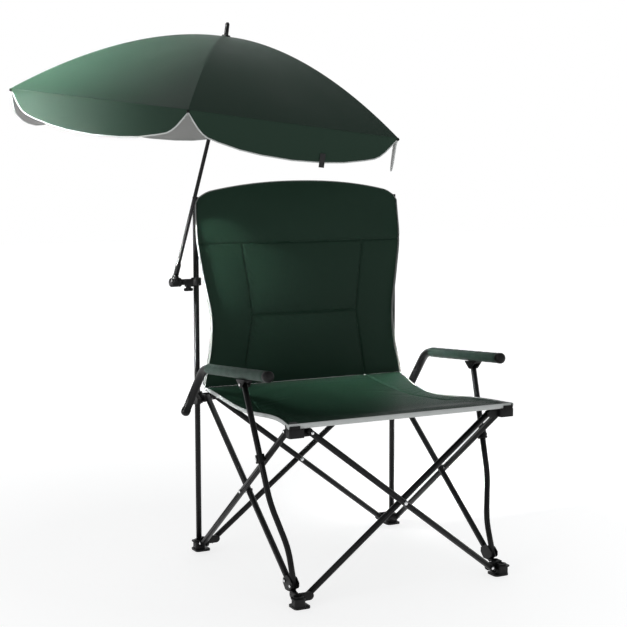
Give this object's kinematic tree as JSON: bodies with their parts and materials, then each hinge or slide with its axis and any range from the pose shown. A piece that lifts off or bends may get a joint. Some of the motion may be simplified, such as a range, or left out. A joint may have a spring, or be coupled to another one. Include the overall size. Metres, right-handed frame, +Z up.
{
  "type": "umbrella chair",
  "caption": "Folding quad camp chair with crossed-tube base, slung cloth seat and back, padded arms and a clamp-on tilting umbrella.",
  "frame": {"origin": "underside centre of the rear left foot, on the ground", "axes": "+X to the sitter's left-to-right as seen from the front, +Y to the back, +Z up; the seat faces -Y"},
  "size_m": [1.1475, 1.0161, 1.392],
  "materials": {
    "steel_black": "satin",
    "plastic_black": "satin",
    "rivet_steel": "satin",
    "foam_green": "matte",
    "cloth_green": "matte",
    "web_black": "matte"
  },
  "bodies": {
    "left_pole": {"foot_rear_left": "plastic_black", "back_pole_left": "steel_black", "back_cloth": "cloth_green"},
    "rear_cross_b": {"rear_tube_2": "steel_black", "rear_tube_rivet": "rivet_steel"},
    "rear_cross_a": {"rear_tube_1": "steel_black"},
    "right_pole": {"foot_rear_right": "plastic_black", "back_pole_right": "steel_black"},
    "right_slider": {"slider_right": "plastic_black"},
    "left_cross_outer": {"left_tube_outer": "steel_black", "left_rivet": "rivet_steel"},
    "left_cross_inner": {"left_tube_inner": "steel_black", "ankle_left": "plastic_black"},
    "left_front_foot": {"foot_front_left": "plastic_black"},
    "left_slider": {"slider_left": "plastic_black", "seat_cloth": "cloth_green"},
    "left_corner": {"corner_block_left": "plastic_black"},
    "front_cross_b": {"front_tube_2": "steel_black", "front_tube_rivet": "rivet_steel"},
    "front_cross_a": {"front_tube_1": "steel_black"},
    "right_front_foot": {"foot_front_right": "plastic_black"},
    "right_corner": {"corner_block_right": "plastic_black"},
    "right_cross_outer": {"right_tube_outer": "steel_black", "right_rivet": "rivet_steel"},
    "right_cross_inner": {"right_tube_inner": "steel_black", "ankle_right": "plastic_black"},
    "left_upright": {"upright_left": "steel_black"},
    "right_upright": {"upright_right": "steel_black"},
    "left_sleeve": {"sleeve_left": "plastic_black"},
    "right_sleeve": {"sleeve_right": "plastic_black"},
    "left_arm": {"arm_left": "steel_black", "grip_left": "foam_green", "arm_cap_left": "plastic_black", "saddle_left": "plastic_black"},
    "right_arm": {"arm_right": "steel_black", "grip_right": "foam_green", "arm_cap_right": "plastic_black", "saddle_right": "plastic_black"},
    "clamp": {"umbrella_clamp": "plastic_black"},
    "clamp_knob": {"clamp_screw": "plastic_black"},
    "umbrella_stem": {"umbrella_knuckle": "plastic_black", "umbrella_lower_pole": "steel_black"},
    "umbrella_head": {"tilt_fork": "plastic_black", "umbrella_upper_pole": "steel_black", "canopy_crown": "plastic_black", "canopy": "cloth_green", "canopy_strap": "web_black"},
    "runner": {"umbrella_runner": "plastic_black"},
    "rib_arm_1": {"rib_1": "steel_black"},
    "strut_1": {"stretcher_1": "steel_black"},
    "rib_arm_2": {"rib_2": "steel_black"},
    "strut_2": {"stretcher_2": "steel_black"},
    "rib_arm_3": {"rib_3": "steel_black"},
    "strut_3": {"stretcher_3": "steel_black"},
    "rib_arm_4": {"rib_4": "steel_black"},
    "strut_4": {"stretcher_4": "steel_black"},
    "rib_arm_5": {"rib_5": "steel_black"},
    "strut_5": {"stretcher_5": "steel_black"},
    "rib_arm_6": {"rib_6": "steel_black"},
    "strut_6": {"stretcher_6": "steel_black"}
  },
  "joints": [
    {"name": "chair_fold", "type": "hinge", "parent": "left_pole", "child": "rear_cross_b", "pos_m": [0.0426, 0.0052, 0.026], "axis": [0, -1, 0], "range_deg": [0, 36], "deforming": ["seat_cloth", "back_cloth"]},
    {"name": "rear_cross_pivot", "type": "hinge", "parent": "rear_cross_b", "child": "rear_cross_a", "pos_m": [0.2961, -0.0038, 0.221], "axis": [0, 1, 0], "range_deg": [0, 72]},
    {"name": "rear_right_foot_hinge", "type": "hinge", "parent": "rear_cross_a", "child": "right_pole", "pos_m": [0.5496, -0.0128, 0.026], "axis": [0, -1, 0], "range_deg": [0, 36]},
    {"name": "rear_right_slider_hinge", "type": "hinge", "parent": "rear_cross_b", "child": "right_slider", "pos_m": [0.5496, 0.0052, 0.416], "axis": [0, 1, 0], "range_deg": [0, 36]},
    {"name": "left_side_hinge", "type": "hinge", "parent": "left_pole", "child": "left_cross_outer", "pos_m": [-0.0039, -0.0267, 0.0255], "axis": [-1, 0, 0], "range_deg": [0, 36]},
    {"name": "left_cross_pivot", "type": "hinge", "parent": "left_cross_outer", "child": "left_cross_inner", "pos_m": [0.0051, -0.2802, 0.2205], "axis": [1, 0, 0], "range_deg": [0, 72]},
    {"name": "front_left_foot_hinge", "type": "hinge", "parent": "left_cross_inner", "child": "left_front_foot", "pos_m": [0.0141, -0.5337, 0.0255], "axis": [-1, 0, 0], "range_deg": [0, 36]},
    {"name": "rear_left_slider_hinge", "type": "hinge", "parent": "left_cross_inner", "child": "left_slider", "pos_m": [0.0141, -0.0267, 0.4155], "axis": [-1, 0, 0], "range_deg": [0, 36]},
    {"name": "left_corner_hinge", "type": "hinge", "parent": "left_cross_outer", "child": "left_corner", "pos_m": [-0.0039, -0.5337, 0.4155], "axis": [1, 0, 0], "range_deg": [0, 36]},
    {"name": "front_side_hinge", "type": "hinge", "parent": "left_front_foot", "child": "front_cross_b", "pos_m": [0.0426, -0.545, 0.023], "axis": [0, -1, 0], "range_deg": [0, 36]},
    {"name": "front_cross_pivot", "type": "hinge", "parent": "front_cross_b", "child": "front_cross_a", "pos_m": [0.2961, -0.554, 0.218], "axis": [0, 1, 0], "range_deg": [0, 72]},
    {"name": "front_right_foot_hinge", "type": "hinge", "parent": "front_cross_a", "child": "right_front_foot", "pos_m": [0.5496, -0.563, 0.023], "axis": [0, -1, 0], "range_deg": [0, 36]},
    {"name": "right_corner_hinge", "type": "hinge", "parent": "front_cross_b", "child": "right_corner", "pos_m": [0.5496, -0.545, 0.413], "axis": [0, 1, 0], "range_deg": [0, 36]},
    {"name": "right_side_hinge", "type": "hinge", "parent": "right_pole", "child": "right_cross_outer", "pos_m": [0.5961, -0.0267, 0.0255], "axis": [-1, 0, 0], "range_deg": [0, 36]},
    {"name": "right_cross_pivot", "type": "hinge", "parent": "right_cross_outer", "child": "right_cross_inner", "pos_m": [0.5871, -0.2802, 0.2205], "axis": [1, 0, 0], "range_deg": [0, 72]},
    {"name": "left_upright_hinge", "type": "hinge", "parent": "left_cross_inner", "child": "left_upright", "pos_m": [0.0141, -0.53078, 0.045], "axis": [-1, 0, 0], "range_deg": [0, 21.68]},
    {"name": "left_arm_hinge", "type": "hinge", "parent": "left_upright", "child": "left_arm", "pos_m": [-0.0339, -0.36224, 0.503], "axis": [1, 0, 0], "range_deg": [0, 5.67]},
    {"name": "left_sleeve_slide", "type": "slide", "parent": "left_upright", "child": "left_sleeve", "axis": [-0.0668, 0.3446, 0.9364], "range_m": [0, 0.16169]},
    {"name": "right_upright_hinge", "type": "hinge", "parent": "right_cross_inner", "child": "right_upright", "pos_m": [0.5781, -0.53078, 0.045], "axis": [-1, 0, 0], "range_deg": [0, 21.68]},
    {"name": "right_arm_hinge", "type": "hinge", "parent": "right_upright", "child": "right_arm", "pos_m": [0.6261, -0.36224, 0.503], "axis": [1, 0, 0], "range_deg": [0, 5.67]},
    {"name": "right_sleeve_slide", "type": "slide", "parent": "right_upright", "child": "right_sleeve", "axis": [0.0668, 0.3446, 0.9364], "range_m": [0, 0.16169]},
    {"name": "clamp_turn", "type": "hinge", "parent": "left_pole", "child": "clamp", "pos_m": [-0.0039, 0.0029, 0.723], "axis": [0, 0, 1], "range_deg": [-20, 20]},
    {"name": "clamp_knob_turn", "type": "hinge", "parent": "clamp", "child": "clamp_knob", "pos_m": [-0.0259, 0.0029, 0.7102], "axis": [0, 0, -1], "continuous": true},
    {"name": "umbrella_swing", "type": "hinge", "parent": "clamp", "child": "umbrella_stem", "pos_m": [-0.0659, 0.0029, 0.723], "axis": [1, 0, 0], "range_deg": [0, 20]},
    {"name": "umbrella_tilt", "type": "hinge", "parent": "umbrella_stem", "child": "umbrella_head", "pos_m": [0.0306, -0.033, 1.13], "axis": [0, 0.9964, 0.0852], "range_deg": [-15, 8]},
    {"name": "umbrella_close", "type": "hinge", "parent": "umbrella_head", "child": "rib_arm_1", "pos_m": [0.05563, -0.06439, 1.35086], "axis": [0.8588, -0.4958, -0.1291], "range_deg": [0, 50], "deforming": ["canopy", "canopy_strap"]},
    {"name": "rib_2_hinge", "type": "hinge", "parent": "umbrella_head", "child": "rib_arm_2", "pos_m": [0.0699, -0.06434, 1.34931], "axis": [0.8632, 0.5016, -0.0577], "range_deg": [0, 50]},
    {"name": "rib_3_hinge", "type": "hinge", "parent": "umbrella_head", "child": "rib_arm_3", "pos_m": [0.07708, -0.05193, 1.34943], "axis": [0.0044, 0.9974, 0.0714], "range_deg": [0, 50]},
    {"name": "rib_4_hinge", "type": "hinge", "parent": "umbrella_head", "child": "rib_arm_4", "pos_m": [0.07, -0.03956, 1.35109], "axis": [-0.8588, 0.4958, 0.1291], "range_deg": [0, 50]},
    {"name": "rib_5_hinge", "type": "hinge", "parent": "umbrella_head", "child": "rib_arm_5", "pos_m": [0.05574, -0.03961, 1.35264], "axis": [-0.8632, -0.5016, 0.0577], "range_deg": [0, 50]},
    {"name": "rib_6_hinge", "type": "hinge", "parent": "umbrella_head", "child": "rib_arm_6", "pos_m": [0.04856, -0.05202, 1.35252], "axis": [-0.0044, -0.9974, -0.0714], "range_deg": [0, 50]},
    {"name": "strut_1_hinge", "type": "hinge", "parent": "rib_arm_1", "child": "strut_1", "pos_m": [0.01174, -0.13693, 1.33746], "axis": [-0.8588, 0.4958, 0.1291], "range_deg": [0, 77.36]},
    {"name": "strut_2_hinge", "type": "hinge", "parent": "rib_arm_2", "child": "strut_2", "pos_m": [0.11038, -0.13659, 1.32676], "axis": [-0.8632, -0.5016, 0.0577], "range_deg": [0, 77.36]},
    {"name": "strut_3_hinge", "type": "hinge", "parent": "rib_arm_3", "child": "strut_3", "pos_m": [0.16007, -0.05072, 1.32755], "axis": [-0.0044, -0.9974, -0.0714], "range_deg": [0, 77.36]},
    {"name": "strut_4_hinge", "type": "hinge", "parent": "rib_arm_4", "child": "strut_4", "pos_m": [0.11113, 0.03481, 1.33904], "axis": [0.8588, -0.4958, -0.1291], "range_deg": [0, 77.36]},
    {"name": "strut_5_hinge", "type": "hinge", "parent": "rib_arm_5", "child": "strut_5", "pos_m": [0.01249, 0.03448, 1.34973], "axis": [0.8632, 0.5016, -0.0577], "range_deg": [0, 77.36]},
    {"name": "strut_6_hinge", "type": "hinge", "parent": "rib_arm_6", "child": "strut_6", "pos_m": [-0.0372, -0.05139, 1.34895], "axis": [0.0044, 0.9974, 0.0714], "range_deg": [0, 77.36]},
    {"name": "runner_slide", "type": "slide", "parent": "umbrella_head", "child": "runner", "axis": [-0.143, 0.0844, -0.9861], "range_m": [0, 0.09117]}
  ],
  "couplings": [
    {"joint": "rear_cross_pivot", "follows": "chair_fold", "ratio": 2},
    {"joint": "rear_right_foot_hinge", "follows": "chair_fold", "ratio": 1},
    {"joint": "rear_right_slider_hinge", "follows": "chair_fold", "ratio": 1},
    {"joint": "left_side_hinge", "follows": "chair_fold", "ratio": 1},
    {"joint": "left_cross_pivot", "follows": "chair_fold", "ratio": 2},
    {"joint": "front_left_foot_hinge", "follows": "chair_fold", "ratio": 1},
    {"joint": "rear_left_slider_hinge", "follows": "chair_fold", "ratio": 1},
    {"joint": "left_corner_hinge", "follows": "chair_fold", "ratio": 1},
    {"joint": "front_side_hinge", "follows": "chair_fold", "ratio": 1},
    {"joint": "front_cross_pivot", "follows": "chair_fold", "ratio": 2},
    {"joint": "front_right_foot_hinge", "follows": "chair_fold", "ratio": 1},
    {"joint": "right_corner_hinge", "follows": "chair_fold", "ratio": 1},
    {"joint": "right_side_hinge", "follows": "chair_fold", "ratio": 1},
    {"joint": "right_cross_pivot", "follows": "chair_fold", "ratio": 2},
    {"joint": "left_upright_hinge", "follows": "chair_fold", "ratio": 0.60205},
    {"joint": "left_arm_hinge", "follows": "chair_fold", "ratio": 0.1576},
    {"joint": "left_sleeve_slide", "follows": "chair_fold", "m_per_rad": 0.25732},
    {"joint": "right_upright_hinge", "follows": "chair_fold", "ratio": 0.60205},
    {"joint": "right_arm_hinge", "follows": "chair_fold", "ratio": 0.1576},
    {"joint": "right_sleeve_slide", "follows": "chair_fold", "m_per_rad": 0.25732},
    {"joint": "rib_2_hinge", "follows": "umbrella_close", "ratio": 1},
    {"joint": "rib_3_hinge", "follows": "umbrella_close", "ratio": 1},
    {"joint": "rib_4_hinge", "follows": "umbrella_close", "ratio": 1},
    {"joint": "rib_5_hinge", "follows": "umbrella_close", "ratio": 1},
    {"joint": "rib_6_hinge", "follows": "umbrella_close", "ratio": 1},
    {"joint": "strut_1_hinge", "follows": "umbrella_close", "ratio": 1.5471},
    {"joint": "strut_2_hinge", "follows": "umbrella_close", "ratio": 1.5471},
    {"joint": "strut_3_hinge", "follows": "umbrella_close", "ratio": 1.5471},
    {"joint": "strut_4_hinge", "follows": "umbrella_close", "ratio": 1.5471},
    {"joint": "strut_5_hinge", "follows": "umbrella_close", "ratio": 1.5471},
    {"joint": "strut_6_hinge", "follows": "umbrella_close", "ratio": 1.5471},
    {"joint": "runner_slide", "follows": "umbrella_close", "m_per_rad": 0.10447}
  ]
}
